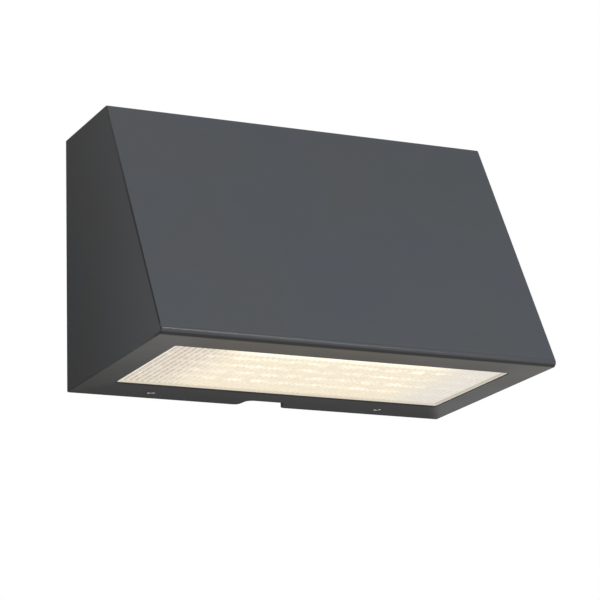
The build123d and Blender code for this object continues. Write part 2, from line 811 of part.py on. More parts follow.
# Terminal block: three poles, each a brass tube with two clamping screws
with BuildPart() as terminal_block:
    with BuildSketch(Plane((terminal_x, terminal_y, tray_top_z))):
        Rectangle(terminal_length, terminal_depth)
    extrude(amount=terminal_height)
    for pole_x in pole_points_x:
        with Locations(Plane((pole_x, terminal_front_y, lead_z), z_dir=(0, -1, 0))):
            Hole(terminal_tube / 2 + seat_clearance, depth=terminal_depth)
    with Locations(*[(x, y, terminal_top_z) for x, y in terminal_screw_points]):
        Hole(terminal_well / 2, depth=terminal_top_z - lead_z)
    with Locations(*[(x, y, terminal_top_z) for x, y in terminal_fixing_points]):
        Hole(screw_diameter / 2 + screw_clearance, depth=terminal_height)

terminal_block.part.label = "terminal_block"
export_step(terminal_block.part, "parts/terminal_block.step")

with BuildPart() as terminal_tubes:
    for pole_x in pole_points_x:
        with BuildSketch(Plane((pole_x, terminal_front_y + terminal_tube_inset, lead_z), z_dir=(0, 1, 0))):
            Circle(terminal_tube / 2)
            Circle(terminal_tube_bore / 2, mode=Mode.SUBTRACT)
        extrude(amount=terminal_depth - 2 * terminal_tube_inset)
    with Locations(*[(x, y, terminal_top_z) for x, y in terminal_screw_points]):
        Hole(terminal_screw / 2 + thread_clearance, depth=terminal_top_z - lead_z)

terminal_tubes.part.label = "terminal_tubes"
export_step(terminal_tubes.part, "parts/terminal_tubes.step")

with BuildPart() as terminal_screws:
    grip_z = lead_z + lead_diameter / 2 + seat_clearance
    for screw_x, screw_y in terminal_screw_points:
        with BuildSketch(Plane((screw_x, screw_y, grip_z))):
            Circle(terminal_screw / 2)
        extrude(amount=terminal_screw_length)
        with BuildSketch(Plane((screw_x, screw_y, grip_z + terminal_screw_length))):
            Rectangle(terminal_screw, screw_drive_width)
        extrude(amount=-screw_drive_depth, mode=Mode.SUBTRACT)

terminal_screws.part.label = "terminal_screws"
export_step(terminal_screws.part, "parts/terminal_screws.step")

block_screw = pan_screw(terminal_height + tray_thickness)
with BuildPart() as terminal_fixings:
    with Locations(*[(x, y, terminal_top_z) for x, y in terminal_fixing_points]):
        add(block_screw)

terminal_fixings.part.label = "terminal_fixings"
export_step(terminal_fixings.part, "parts/terminal_fixings.step")

# Earth point: a brass post on the tray, a ring terminal on top and a screw through both
with BuildPart() as earth_post:
    with BuildSketch(Plane((earth_x, earth_y, tray_top_z))):
        RegularPolygon(earth_post_across / 2, 6, major_radius=False)
    extrude(amount=earth_seat_z - tray_top_z)
    with BuildSketch(Plane((earth_x, earth_y, tray_top_z))):
        Circle(earth_thread / 2)
    extrude(amount=-tray_thickness)
    with Locations((earth_x, earth_y, earth_seat_z)):
        Hole(screw_diameter / 2 + screw_clearance, depth=screw_grip)

earth_post.part.label = "earth_post"
export_step(earth_post.part, "parts/earth_post.step")

barrel_start_x = earth_x - earth_ring / 2
barrel_end_x = barrel_start_x - earth_barrel_length
with BuildPart() as earth_terminal:
    with BuildSketch(Plane((earth_x, earth_y, earth_seat_z))):
        Circle(earth_ring / 2)
        with Locations((barrel_start_x - earth_x, 0)):
            Rectangle(earth_ring / 2, earth_barrel, align=(Align.MIN, Align.CENTER))
    extrude(amount=earth_ring_thickness)
    with BuildSketch(Plane((barrel_end_x, earth_y, lead_z), z_dir=(1, 0, 0))):
        Circle(earth_barrel / 2)
    extrude(amount=earth_barrel_length)
    with Locations(Plane((barrel_end_x, earth_y, lead_z), z_dir=(-1, 0, 0))):
        Hole(lead_diameter / 2 + lead_clearance, depth=earth_barrel_length)
    with Locations((earth_x, earth_y, earth_seat_z + earth_ring_thickness)):
        Hole(screw_diameter / 2 + screw_clearance, depth=earth_ring_thickness)

earth_terminal.part.label = "earth_terminal"
export_step(earth_terminal.part, "parts/earth_terminal.step")

ring_screw = pan_screw(screw_grip)
with BuildPart() as earth_screw:
    with Locations((earth_x, earth_y, earth_seat_z + earth_ring_thickness)):
        add(ring_screw)

earth_screw.part.label = "earth_screw"
export_step(earth_screw.part, "parts/earth_screw.step")

# Leads: live and neutral to the driver, earth to the ring, and a pair from the driver to the LED board
pole_end_y = terminal_front_y + terminal_depth / 2 - terminal_tube_inset
driver_lead_x = driver_right_x - driver_wall - lead_tail
for name, pole_x, row_y in (
    ("live_lead", pole_points_x[0], live_y),
    ("neutral_lead", pole_points_x[1], neutral_y),
):
    supply_lead = lead(
        [(pole_x, pole_end_y, lead_z), (pole_x, row_y, lead_z), (driver_lead_x, row_y, lead_z)],
        lead_diameter,
        lead_bend,
    )
    supply_lead.part.label = name
    export_step(supply_lead.part, f"parts/{name}.step")

earth_lead = lead(
    [
        (pole_points_x[2], pole_end_y, lead_z),
        (pole_points_x[2], earth_y, lead_z),
        (barrel_start_x, earth_y, lead_z),
    ],
    lead_diameter,
    lead_bend,
)
earth_lead.part.label = "earth_lead"
export_step(earth_lead.part, "parts/earth_lead.step")

connector_end_x = connector_x - connector_length / 2 + lead_tail
output_lead_x = driver_left_x + driver_wall + lead_tail
for name, row_y in zip(("led_lead_positive", "led_lead_negative"), led_lead_rows_y):
    output_lead = lead(
        [
            (connector_end_x, row_y, connector_z),
            (led_lead_x, row_y, connector_z),
            (led_lead_x, row_y, lead_z),
            (output_lead_x, row_y, lead_z),
        ],
        led_lead_diameter,
        led_lead_bend,
    )
    output_lead.part.label = name
    export_step(output_lead.part, f"parts/{name}.step")
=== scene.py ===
import json
import math

import bmesh
import bpy
from mathutils import Matrix, Vector


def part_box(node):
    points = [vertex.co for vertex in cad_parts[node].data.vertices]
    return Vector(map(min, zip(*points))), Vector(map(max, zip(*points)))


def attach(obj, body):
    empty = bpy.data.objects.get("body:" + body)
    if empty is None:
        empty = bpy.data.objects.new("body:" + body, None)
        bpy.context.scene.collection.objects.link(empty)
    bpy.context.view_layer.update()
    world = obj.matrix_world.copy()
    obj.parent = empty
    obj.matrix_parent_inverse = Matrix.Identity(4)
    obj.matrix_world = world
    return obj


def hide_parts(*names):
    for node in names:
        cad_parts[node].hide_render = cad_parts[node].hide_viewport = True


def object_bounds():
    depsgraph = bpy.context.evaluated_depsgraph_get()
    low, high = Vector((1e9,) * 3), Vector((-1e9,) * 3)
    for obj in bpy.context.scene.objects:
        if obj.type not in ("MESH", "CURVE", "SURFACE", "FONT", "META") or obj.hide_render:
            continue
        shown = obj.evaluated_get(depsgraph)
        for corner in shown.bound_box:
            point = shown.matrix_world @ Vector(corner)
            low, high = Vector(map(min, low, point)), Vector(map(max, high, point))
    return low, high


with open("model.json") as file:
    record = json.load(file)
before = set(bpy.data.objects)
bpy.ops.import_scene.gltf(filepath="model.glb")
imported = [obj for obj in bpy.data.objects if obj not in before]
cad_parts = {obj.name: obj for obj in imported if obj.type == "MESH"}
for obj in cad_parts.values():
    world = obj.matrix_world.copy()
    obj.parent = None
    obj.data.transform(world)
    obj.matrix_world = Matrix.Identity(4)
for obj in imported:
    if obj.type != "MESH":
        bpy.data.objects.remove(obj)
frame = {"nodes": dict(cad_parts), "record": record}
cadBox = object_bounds()
nodes = frame["nodes"]
record = frame["record"]
scene = bpy.context.scene
mm = 0.001
print("frame loaded:", len(nodes), "nodes")


class Shade:
    # one output socket of a node tree: arithmetic on it adds Math nodes

    def __init__(self, tree, out=None):
        self.tree = tree
        self.out = out

    def add(self, kind, settings=None, sockets=None, output=0):
        # any node: its settings first, then the values or links of its sockets
        node = self.tree.nodes.new(kind)
        for name, value in (settings or {}).items():
            setattr(node, name, value)
        plug(self.tree, node, sockets or {})
        return Shade(self.tree, node.outputs[output])

    def calc(self, operation, *others):
        values = dict(enumerate((self, *others)))
        return self.add("ShaderNodeMath", {"operation": operation}, values)

    def flipped(self, operation, other):
        return self.add("ShaderNodeMath", {"operation": operation}, {0: other, 1: self})

    def __add__(self, other):
        return self.calc("ADD", other)

    def __radd__(self, other):
        return self.flipped("ADD", other)

    def __sub__(self, other):
        return self.calc("SUBTRACT", other)

    def __rsub__(self, other):
        return self.flipped("SUBTRACT", other)

    def __mul__(self, other):
        return self.calc("MULTIPLY", other)

    def __rmul__(self, other):
        return self.flipped("MULTIPLY", other)

    def __truediv__(self, other):
        return self.calc("DIVIDE", other)

    def __rtruediv__(self, other):
        return self.flipped("DIVIDE", other)

    def __neg__(self):
        return self.flipped("SUBTRACT", 0.0)

    def __abs__(self):
        return self.calc("ABSOLUTE")

    def rise(self, low, high):
        # 0 below low, 1 above high, smooth between them
        settings = {"interpolation_type": "SMOOTHSTEP", "clamp": True}
        return self.add("ShaderNodeMapRange", settings, {"Value": self, "From Min": low, "From Max": high})

    def toward(self, first, second):
        # a colour between two colours, with this value as the share of the second
        # (sockets 0, 6 and 7 of a Mix node are its factor and two colours, output 2 is the colour)
        settings = {"data_type": "RGBA", "blend_type": "MIX", "clamp_factor": True}
        return self.add("ShaderNodeMix", settings, {0: self, 6: first, 7: second}, 2)

    def cell(self, pitch):
        # the distance to the middle of the nearest cell of a row of cells
        return abs((self / pitch).calc("FRACT") - 0.5) * pitch


def plug(tree, node, sockets):
    # sets or links each socket; a three-part colour gets its alpha
    for name, value in sockets.items():
        socket = node.inputs[name]
        if isinstance(value, Shade):
            tree.links.new(value.out, socket)
        elif socket.type == "RGBA":
            socket.default_value = (*value[:3], 1.0)
        else:
            socket.default_value = value


def startFinish(name):
    # a material with its Principled shader and a reader of the Object coordinates
    material = bpy.data.materials.new(name)
    material.use_nodes = True
    tree = material.node_tree
    place = Shade(tree).add("ShaderNodeTexCoord", output="Object")
    return material, tree.nodes["Principled BSDF"], place


def axesOf(place):
    split = place.add("ShaderNodeSeparateXYZ", None, {0: place})
    return [Shade(place.tree, out) for out in split.out.node.outputs]


def stretched(place, scale):
    return place.add("ShaderNodeMapping", {"vector_type": "POINT"}, {"Vector": place, "Scale": scale})


def noise(place, size, detail=2.0, roughness=0.5):
    # a soft noise whose blotches are about this size in metres
    sockets = {"Vector": place, "Scale": 1.0 / size, "Detail": detail, "Roughness": roughness}
    return place.add("ShaderNodeTexNoise", None, sockets)


def relief(place, height, depth, strength):
    sockets = {"Height": height, "Distance": depth, "Strength": strength}
    return place.add("ShaderNodeBump", None, sockets)


# Housing coat

coat = {
    "blueGrey": (0.078, 0.087, 0.103),
    "plainGrey": (0.083, 0.090, 0.099),
    "underGrey": (0.086, 0.086, 0.083),
    "panelWarmth": (0.072, 0.056, 0.034),
    "rubbedEdge": (0.108, 0.116, 0.128),
    "jointShadow": (0.020, 0.021, 0.023),
    # the slope of the front runs from the top's front edge to the nose
    "topFront": 72 * mm,
    "noseReach": 158 * mm,
    "blotch": 70 * mm,
    "blotchRange": (0.35, 0.65),
    "grain": 0.35 * mm,
    "peel": 2.6 * mm,
    # each pair of lengths is where a mark begins to show, or to fade, and where that is complete
    "edgeFade": (0.2 * mm, 1.6 * mm),
    "chip": 9 * mm,
    "chipRange": (0.40, 0.72),
    "jointFade": (0.45 * mm, 0.9 * mm),
    "jointDrop": (10 * mm, 90 * mm),
    "jointLeast": 0.45,
    "windowReach": 1.0 * mm,
    "windowFade": 0.1 * mm,
    "recessFoot": (0.08 * mm, 0.18 * mm),
    "recessTop": (5.0 * mm, 5.5 * mm),
    "undersideFade": (0.1 * mm, 0.6 * mm),
    "undersideShare": 0.7,
    "undersideLoss": 0.5,
    "stripRear": (0.0, 8 * mm),
    "stripLeft": (-135 * mm, -80 * mm),
    "stripRight": (-10 * mm, 110 * mm),
    "stripShare": 0.6,
    "seamFront": (-0.5 * mm, 0.0),
    "seamRear": (2.0 * mm, 3.5 * mm),
    "seamEnd": 1.5 * mm,
    "seamShare": 0.5,
    "grooveFoot": (0.05 * mm, 0.25 * mm),
    "grooveTop": (1.2 * mm, 1.92 * mm),
    "grooveRear": (10 * mm, 12 * mm),
    "grooveShare": 0.58,
    "noseTop": (4.6 * mm, 6.6 * mm),
    # roughness, and what each mark adds to it or takes from it
    "rough": 0.54,
    "grainRough": 0.10,
    "blotchRough": 0.05,
    "wallRough": 0.36,
    "noseSmooth": 0.44,
    "undersideSmooth": 0.18,
    "mitreSlope": 0.56,
    "mitreFade": (-8 * mm, 4 * mm),
    "rimReach": 12 * mm,
    "wipeSmooth": 0.13,
    "rightWipe": 0.34,
    "rightFade": (-1 * mm, 1 * mm),
    "peelShare": 2.0,
    "relief": 0.03 * mm,
    "reliefShare": 0.35,
    "specular": 0.12,
}


def anthraciteCoat():
    material, shader, place = startFinish("anthraciteCoat")
    low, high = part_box("housing")
    x, y, z = axesOf(place)
    across = high.x - abs(x)
    above = z - low.z
    below = high.z - z
    # how far a point lies behind the slope of the front
    lean = (coat["noseReach"] - coat["topFront"]) / (high.z - low.z)
    behindSlope = (y + coat["noseReach"] - above * lean) / math.hypot(1, lean)
    nearFront = 1 - behindSlope.rise(*coat["edgeFade"])
    nearSide = 1 - across.rise(*coat["edgeFade"])
    nearTop = 1 - below.rise(*coat["edgeFade"])
    nearFoot = 1 - above.rise(*coat["edgeFade"])
    # the edges are rubbed in places, and painted shade marks a fine joint down both sides of the front,
    # fainter near the top
    worn = nearFront * nearTop + nearFront * nearFoot + nearSide * nearFoot
    worn = worn * noise(place, coat["chip"], 3.0).rise(*coat["chipRange"])
    jointShade = nearFront * (1 - across.rise(*coat["jointFade"]))
    jointShade = jointShade * (coat["jointLeast"] + (1 - coat["jointLeast"]) * below.rise(*coat["jointDrop"]))
    blotches = noise(place, coat["blotch"], 2.0).rise(*coat["blotchRange"])
    colour = blotches.toward(coat["blueGrey"], coat["plainGrey"])
    colour = worn.toward(colour, coat["rubbedEdge"])
    colour = jointShade.toward(colour, coat["jointShadow"])
    # the walls of the window lie in the shadow of the gap round the panel
    panelLow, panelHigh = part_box("diffuser")
    middle = (panelLow + panelHigh) / 2
    half = (panelHigh - panelLow) / 2
    windowX = half.x - panel["flangeReach"]
    windowY = half.y - panel["flangeReach"]
    reachX = windowX + coat["windowReach"]
    reachY = windowY + coat["windowReach"]
    insideX = 1 - abs(x - middle.x).rise(reachX, reachX + coat["windowFade"])
    insideY = 1 - abs(y - middle.y).rise(reachY, reachY + coat["windowFade"])
    inRecess = above.rise(*coat["recessFoot"]) * (1 - above.rise(*coat["recessTop"]))
    colour = (insideX * insideY * inRecess).toward(colour, coat["jointShadow"])
    # the underside is a plainer grey, and a painted warm tint on its strip in front of the window stands for
    # the panel's light falling there
    flat = 1 - above.rise(*coat["undersideFade"])
    toWall = (y - low.y) / (high.y - low.y)
    plainer = coat["undersideShare"] * flat * (1 - coat["undersideLoss"] * toWall)
    colour = plainer.toward(colour, coat["underGrey"])
    ahead = 1 - (y - panelLow.y).rise(*coat["stripRear"])
    alongStrip = x.rise(*coat["stripLeft"]) * (1 - x.rise(*coat["stripRight"]))
    colour = (coat["stripShare"] * ahead * flat * alongStrip).toward(colour, coat["panelWarmth"])
    # painted shade darkens a band on the underside behind the window and the lower part of the rounded nose
    behindWindow = y - (middle.y + windowY)
    seamShade = behindWindow.rise(*coat["seamFront"]) * (1 - behindWindow.rise(*coat["seamRear"]))
    seamShade = seamShade * flat * (1 - abs(x).rise(windowX, windowX + coat["seamEnd"]))
    colour = (coat["seamShare"] * seamShade).toward(colour, coat["jointShadow"])
    noseFootShade = above.rise(*coat["grooveFoot"]) * (1 - above.rise(*coat["grooveTop"]))
    noseFootShade = noseFootShade * (1 - (y - low.y).rise(*coat["grooveRear"]))
    colour = (coat["grooveShare"] * noseFootShade).toward(colour, coat["jointShadow"])
    grain = noise(place, coat["grain"], 2.0)
    peel = noise(place, coat["peel"], 1.0)
    # the coat is duller towards the wall, where rain doesn't rinse it, and smoother on the flat underside
    rough = coat["rough"] + coat["grainRough"] * grain + coat["blotchRough"] * blotches
    rough = rough + coat["wallRough"] * toWall - coat["undersideSmooth"] * flat * (1 - toWall)
    # hands and weather leave the rounded nose smoother than the rest
    nose = nearFront * (1 - above.rise(*coat["noseTop"]))
    rough = rough - coat["noseSmooth"] * nose * (1 - noseFootShade)
    # the rims beside the window are wiped with the panel, the right one more than the left
    mitre = (abs(x) - windowX) - coat["mitreSlope"] * behindWindow
    wiped = mitre.rise(*coat["mitreFade"]) * abs(x).rise(windowX - coat["rimReach"], windowX)
    wipe = coat["wipeSmooth"] + coat["rightWipe"] * x.rise(*coat["rightFade"])
    rough = rough - flat * toWall * wiped * wipe
    plug(material.node_tree, shader, {
        "Base Color": colour,
        "Roughness": rough,
        "Normal": relief(place, grain + coat["peelShare"] * peel, coat["relief"], coat["reliefShare"]),
        "Specular IOR Level": coat["specular"],
    })
    return material


# Prismatic panel

panel = {
    "flangeReach": 5.4 * mm,
    "flangeThickness": 2.0 * mm,
    "cornerRadius": 1.5 * mm,
    "cornerSteps": 5,
    "floorThickness": 3.0 * mm,
    "pocketRim": 3.0 * mm,
    "pocketRadius": 0.05 * mm,
    "lipWidth": 0.8 * mm,
    "lipDrop": 0.9 * mm,
    "edgeBreak": 0.2 * mm,
    "prismPitch": 3.8 * mm,
    "prismRow": 2.0 * mm,
    "prismDepth": 1.0 * mm,
    "weld": 0.01 * mm,
    # the LEDs' dashes, in shares of their pitch
    "ledPitch": 17.0 * mm,
    "ledRows": 4,
    "wander": 15 * mm,
    "dashWander": 0.9,
    "dashFade": (0.12, 0.42),
    "rowWander": 0.25,
    "rowFade": (0.06, 0.30),
    "lastRowFade": 0.3,
    "streak": (110, 380, 110),
    "streakRange": (0.40, 0.62),
    "dashShare": 0.30,
    "streakShare": 0.50,
    "streakBetween": 0.20,
    # the glow along the front, and the duller ends, in shares of the panel's length
    "frontGlow": (11.5 * mm, 16.5 * mm),
    "frontLeast": 0.7,
    "frontLeft": (0.12, 0.25),
    "frontRight": (0.75, 0.90),
    "rightEnd": (0.76, 0.92),
    "rightShare": 0.85,
    "leftEnd": (0.05, 0.26),
    "leftShare": 0.80,
    "cream": (0.780, 0.690, 0.515),
    "hot": (1.000, 0.960, 0.830),
    "farEnd": (0.640, 0.620, 0.600),
    "nearEnd": (0.735, 0.665, 0.585),
    # how dark the facets are: all over, and what the left end adds
    "facetFade": (0.10, 0.35),
    "uneven": 5 * mm,
    "unevenRange": (0.30, 0.70),
    "leftFacet": 0.05,
    "leftFacetEnd": 0.55,
    "leftFacetUneven": 0.85,
    "rearFacet": 0.06,
    "rearFacetEnd": 0.12,
    "valley": (0.250, 0.222, 0.195),
    "uprightFade": (0.05, 0.20),
    "lipFade": (0.3 * mm, 0.5 * mm),
    "lipFace": (0.560, 0.530, 0.460),
    "lipSide": (0.390, 0.375, 0.325),
    "lipRear": (0.530, 0.500, 0.430),
    "acrylic": (0.34, 0.32, 0.28),
    "acrylicLit": (0.55, 0.52, 0.45),
    "litShare": 0.30,
    "rough": 0.16,
    "fine": 0.9 * mm,
    "fineRough": 0.10,
    "strength": 0.83,
    "specular": 0.35,
}


def litAcrylic():
    material, shader, place = startFinish("litAcrylic")
    low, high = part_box("diffuser")
    middle = (low + high) / 2
    x, y, z = axesOf(place)
    fromLeft = (x - low.x) / (high.x - low.x)
    alongY = y - middle.y
    pitch = panel["ledPitch"]
    # each LED shows as a dash that the prisms stretch along the panel
    wander = pitch * (noise(place, panel["wander"], 1.0) - 0.5)
    dash = (x + panel["dashWander"] * wander).cell(pitch)
    dash = 1 - dash.rise(*[share * pitch for share in panel["dashFade"]])
    row = (alongY + panel["rowWander"] * wander).cell(pitch)
    row = 1 - row.rise(*[share * pitch for share in panel["rowFade"]])
    halfRows = 0.5 * panel["ledRows"]
    inRows = 1 - abs(alongY).rise(halfRows * pitch, (halfRows + panel["lastRowFade"]) * pitch)
    streaks = noise(stretched(place, panel["streak"]), 1.0, 2.0).rise(*panel["streakRange"])
    glow = inRows * row * (panel["dashShare"] * dash + panel["streakShare"] * streaks)
    glow = glow + panel["streakBetween"] * streaks
    # a bright band runs along the front, and both ends are duller
    frontGlow = 1 - (y - low.y - panel["flangeReach"]).rise(*panel["frontGlow"])
    frontGlow = frontGlow * fromLeft.rise(*panel["frontLeft"]) * (1 - fromLeft.rise(*panel["frontRight"]))
    frontGlow = frontGlow * (panel["frontLeast"] + (1 - panel["frontLeast"]) * streaks)
    glow = glow.calc("MAXIMUM", frontGlow)
    rightEnd = fromLeft.rise(*panel["rightEnd"])
    leftEnd = 1 - fromLeft.rise(*panel["leftEnd"])
    colour = glow.toward(panel["cream"], panel["hot"])
    colour = (panel["rightShare"] * rightEnd).toward(colour, panel["farEnd"])
    colour = (panel["leftShare"] * leftEnd).toward(colour, panel["nearEnd"])
    # facets that lean one way show the dark side of the light box, most of all near the left end
    leanX, leanY, leanZ = axesOf(place.add("ShaderNodeNewGeometry", output="Normal"))
    leftFacet = (-leanX).rise(*panel["facetFade"])
    rearFacet = leanY.rise(*panel["facetFade"])
    uneven = noise(place, panel["uneven"], 2.0).rise(*panel["unevenRange"])
    leftShade = leftEnd * (panel["leftFacetEnd"] + panel["leftFacetUneven"] * uneven)
    leftShade = leftFacet * (panel["leftFacet"] + leftShade)
    rearShade = rearFacet * (panel["rearFacet"] + panel["rearFacetEnd"] * leftEnd)
    colour = (leftShade + rearShade).toward(colour, panel["valley"])
    # the plain lip round the prisms passes less of the light on
    upright = 1 - abs(leanZ).rise(*panel["uprightFade"])
    onLip = 1 - (z - low.z).rise(*panel["lipFade"])
    colour = onLip.toward(colour, panel["lipFace"])
    colour = upright.toward(colour, leftFacet.toward(panel["lipRear"], panel["lipSide"]))
    plug(material.node_tree, shader, {
        "Base Color": (panel["litShare"] * glow).toward(panel["acrylic"], panel["acrylicLit"]),
        "Roughness": panel["rough"] + panel["fineRough"] * noise(place, panel["fine"], 1.0),
        "Emission Color": colour,
        "Emission Strength": panel["strength"],
        "Specular IOR Level": panel["specular"],
    })
    return material


def roundedRing(mesh, middle, halfX, halfY, radius, z):
    # the corners of one rounded rectangle, in order, as new vertices
    steps = panel["cornerSteps"]
    ring = []
    for quarter in range(4):
        cornerX = (halfX - radius) * (1 if quarter in (0, 3) else -1)
        cornerY = (halfY - radius) * (1 if quarter in (0, 1) else -1)
        for step in range(steps + 1):
            turn = (quarter + step / steps) * math.pi / 2
            at = (cornerX + radius * math.cos(turn), cornerY + radius * math.sin(turn))
            ring.append(mesh.verts.new((middle.x + at[0], middle.y + at[1], z)))
    return ring


def bridgeRings(mesh, first, second):
    count = len(first)
    for i in range(count):
        j = (i + 1) % count
        mesh.faces.new((first[i], first[j], second[j], second[i]))


prismInputs = {
    "Length": "NodeSocketFloat",
    "Width": "NodeSocketFloat",
    "Columns": "NodeSocketInt",
    "Rows": "NodeSocketInt",
    "Depth": "NodeSocketFloat",
    "Place": "NodeSocketVector",
}


def prismTree(material):
    # a field of four-sided prisms, point down and side by side
    tree = bpy.data.node_groups.new("prismField", "GeometryNodeTree")
    for name, kind in prismInputs.items():
        tree.interface.new_socket(name, in_out="INPUT", socket_type=kind)
    tree.interface.new_socket("Prisms", in_out="OUTPUT", socket_type="NodeSocketGeometry")
    given = tree.nodes.new("NodeGroupInput").outputs
    result = tree.nodes.new("NodeGroupOutput")
    sheet = Shade(tree)
    length, width, columns, rows, depth, place = [Shade(tree, given[name]) for name in prismInputs]
    pitchX = length / columns
    pitchY = width / rows
    grid = sheet.add("GeometryNodeMeshGrid", None, {
        "Size X": length - pitchX,
        "Size Y": width - pitchY,
        "Vertices X": columns,
        "Vertices Y": rows,
    })
    # one prism on a square foot with sides of 1, open at the foot
    prism = sheet.add("GeometryNodeMeshCone", {"fill_type": "NONE"}, {
        "Vertices": 4,
        "Radius Top": 0.0,
        "Radius Bottom": math.sqrt(0.5),
        "Depth": 1.0,
    })
    turned = sheet.add("GeometryNodeTransform", None, {
        "Geometry": prism,
        "Rotation": (math.pi, 0.0, math.pi / 4),
    })
    size = sheet.add("ShaderNodeCombineXYZ", None, {0: pitchX, 1: pitchY, 2: depth})
    copies = sheet.add("GeometryNodeInstanceOnPoints", None, {
        "Points": grid,
        "Instance": turned,
        "Scale": size,
    })
    moved = sheet.add("GeometryNodeTransform", None, {"Geometry": copies, "Translation": place})
    real = sheet.add("GeometryNodeRealizeInstances", None, {"Geometry": moved})
    painted = sheet.add("GeometryNodeSetMaterial", None, {"Geometry": real, "Material": material})
    tree.links.new(painted.out, result.inputs[0])
    return tree


def prismField(material, middle, length, width, z):
    # the prisms as a plain mesh
    tree = prismTree(material)
    holder = bpy.data.objects.new("prismField", bpy.data.meshes.new("prismField"))
    scene.collection.objects.link(holder)
    modifier = holder.modifiers.new("prisms", "NODES")
    modifier.node_group = tree
    values = {
        "Length": length,
        "Width": width,
        "Columns": round(length / panel["prismPitch"]),
        "Rows": round(width / panel["prismRow"]),
        "Depth": panel["prismDepth"],
        "Place": (middle.x, middle.y, z),
    }
    for item in tree.interface.items_tree:
        if item.in_out == "INPUT":
            modifier[item.identifier] = values[item.name]
    holder.update_tag()
    seen = holder.evaluated_get(bpy.context.evaluated_depsgraph_get())
    field = bpy.data.meshes.new_from_object(seen)
    holder.modifiers.remove(modifier)
    bpy.data.objects.remove(holder)
    return field


def prismPanel():
    low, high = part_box("diffuser")
    middle = (low + high) / 2
    material = litAcrylic()
    flangeX = (high.x - low.x) / 2
    flangeY = (high.y - low.y) / 2
    plugX = flangeX - panel["flangeReach"]
    plugY = flangeY - panel["flangeReach"]
    fieldX = plugX - panel["lipWidth"]
    fieldY = plugY - panel["lipWidth"]
    pocketX = plugX - panel["pocketRim"]
    pocketY = plugY - panel["pocketRim"]
    radius = panel["cornerRadius"]
    flangeRadius = radius + panel["flangeReach"]
    breakIn = panel["edgeBreak"]
    valleyZ = low.z + panel["lipDrop"] + panel["prismDepth"]
    flangeZ = high.z - panel["flangeThickness"]
    pocketZ = low.z + panel["floorThickness"]
    # from the lip's outer edge up round the flange and down into the pocket
    outline = [
        (plugX - breakIn, plugY - breakIn, radius - breakIn, low.z),
        (plugX, plugY, radius, low.z + breakIn),
        (plugX, plugY, radius, flangeZ),
        (flangeX, flangeY, flangeRadius, flangeZ),
        (flangeX, flangeY, flangeRadius, high.z),
        (pocketX, pocketY, panel["pocketRadius"], high.z),
        (pocketX, pocketY, panel["pocketRadius"], pocketZ),
    ]
    body = bmesh.new()
    body.from_mesh(prismField(material, middle, 2 * fieldX, 2 * fieldY, valleyZ))
    bmesh.ops.remove_doubles(body, verts=body.verts, dist=panel["weld"])
    # the inside of the lip runs down from the edge of the prism field
    fieldEdge = [edge for edge in body.edges if edge.is_boundary]
    for part in bmesh.ops.extrude_edge_only(body, edges=fieldEdge)["geom"]:
        if isinstance(part, bmesh.types.BMVert):
            part.co.z = low.z
    rings = [roundedRing(body, middle, *step) for step in outline]
    for first, second in zip(rings, rings[1:]):
        bridgeRings(body, first, second)
    body.faces.new(rings[-1])
    # the face of the lip lies between the two open edges that are left
    lipEdges = [edge for edge in body.edges if edge.is_boundary]
    bmesh.ops.triangle_fill(body, edges=lipEdges, use_beauty=True, normal=(0.0, 0.0, -1.0))
    bmesh.ops.recalc_face_normals(body, faces=body.faces)
    openEdges = sum(not edge.is_manifold for edge in body.edges)
    mesh = bpy.data.meshes.new("prismPanel")
    body.to_mesh(mesh)
    body.free()
    mesh.materials.append(material)
    piece = bpy.data.objects.new("prismPanel", mesh)
    scene.collection.objects.link(piece)
    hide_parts("diffuser")
    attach(piece, "light_body")
    print("prism panel:", len(mesh.polygons), "faces,", openEdges, "open edges")


# Bare and plated metal

metals = {
    "zinc_steel": {
        "light": (0.50, 0.51, 0.53), "dark": (0.36, 0.37, 0.39), "rough": 0.42, "drawn": (60, 60, 60),
    },
    "stainless": {
        "light": (0.70, 0.70, 0.69), "dark": (0.56, 0.56, 0.55), "rough": 0.26, "drawn": (300, 300, 900),
    },
    "tray_aluminium": {
        "light": (0.78, 0.79, 0.80), "dark": (0.66, 0.67, 0.68), "rough": 0.36, "drawn": (8, 700, 700),
    },
    "brass": {
        "light": (0.80, 0.62, 0.32), "dark": (0.62, 0.45, 0.20), "rough": 0.28, "drawn": (260, 260, 700),
    },
    "tinned_copper": {
        "light": (0.74, 0.73, 0.70), "dark": (0.60, 0.57, 0.52), "rough": 0.38, "drawn": (240, 240, 240),
    },
}

metalLook = {
    "streakNoise": (3.0, 0.6),
    "streakShare": 0.55,
    "cloud": 22 * mm,
    "toneRange": (0.30, 0.70),
    "speck": 1.2 * mm,
    "speckRange": (0.66, 0.74),
    "speckShare": 0.30,
    "polish": 0.06,
    "streakRough": 0.12,
    "cloudRough": 0.06,
    "relief": 0.02 * mm,
    "reliefShare": 0.4,
}


def plainMetal(name, given):
    material, shader, place = startFinish(name)
    streaks = noise(stretched(place, given["drawn"]), 1.0, *metalLook["streakNoise"])
    clouds = noise(place, metalLook["cloud"], 3.0)
    specks = noise(place, metalLook["speck"], 1.0).rise(*metalLook["speckRange"])
    tone = metalLook["streakShare"] * streaks + (1 - metalLook["streakShare"]) * clouds
    colour = tone.rise(*metalLook["toneRange"]).toward(given["dark"], given["light"])
    colour = (metalLook["speckShare"] * specks).toward(colour, given["dark"])
    rough = given["rough"] - metalLook["polish"]
    rough = rough + metalLook["streakRough"] * streaks + metalLook["cloudRough"] * clouds
    plug(material.node_tree, shader, {
        "Base Color": colour,
        "Metallic": 1.0,
        "Roughness": rough,
        "Normal": relief(place, streaks, metalLook["relief"], metalLook["reliefShare"]),
    })
    return material


# Moulded plastic

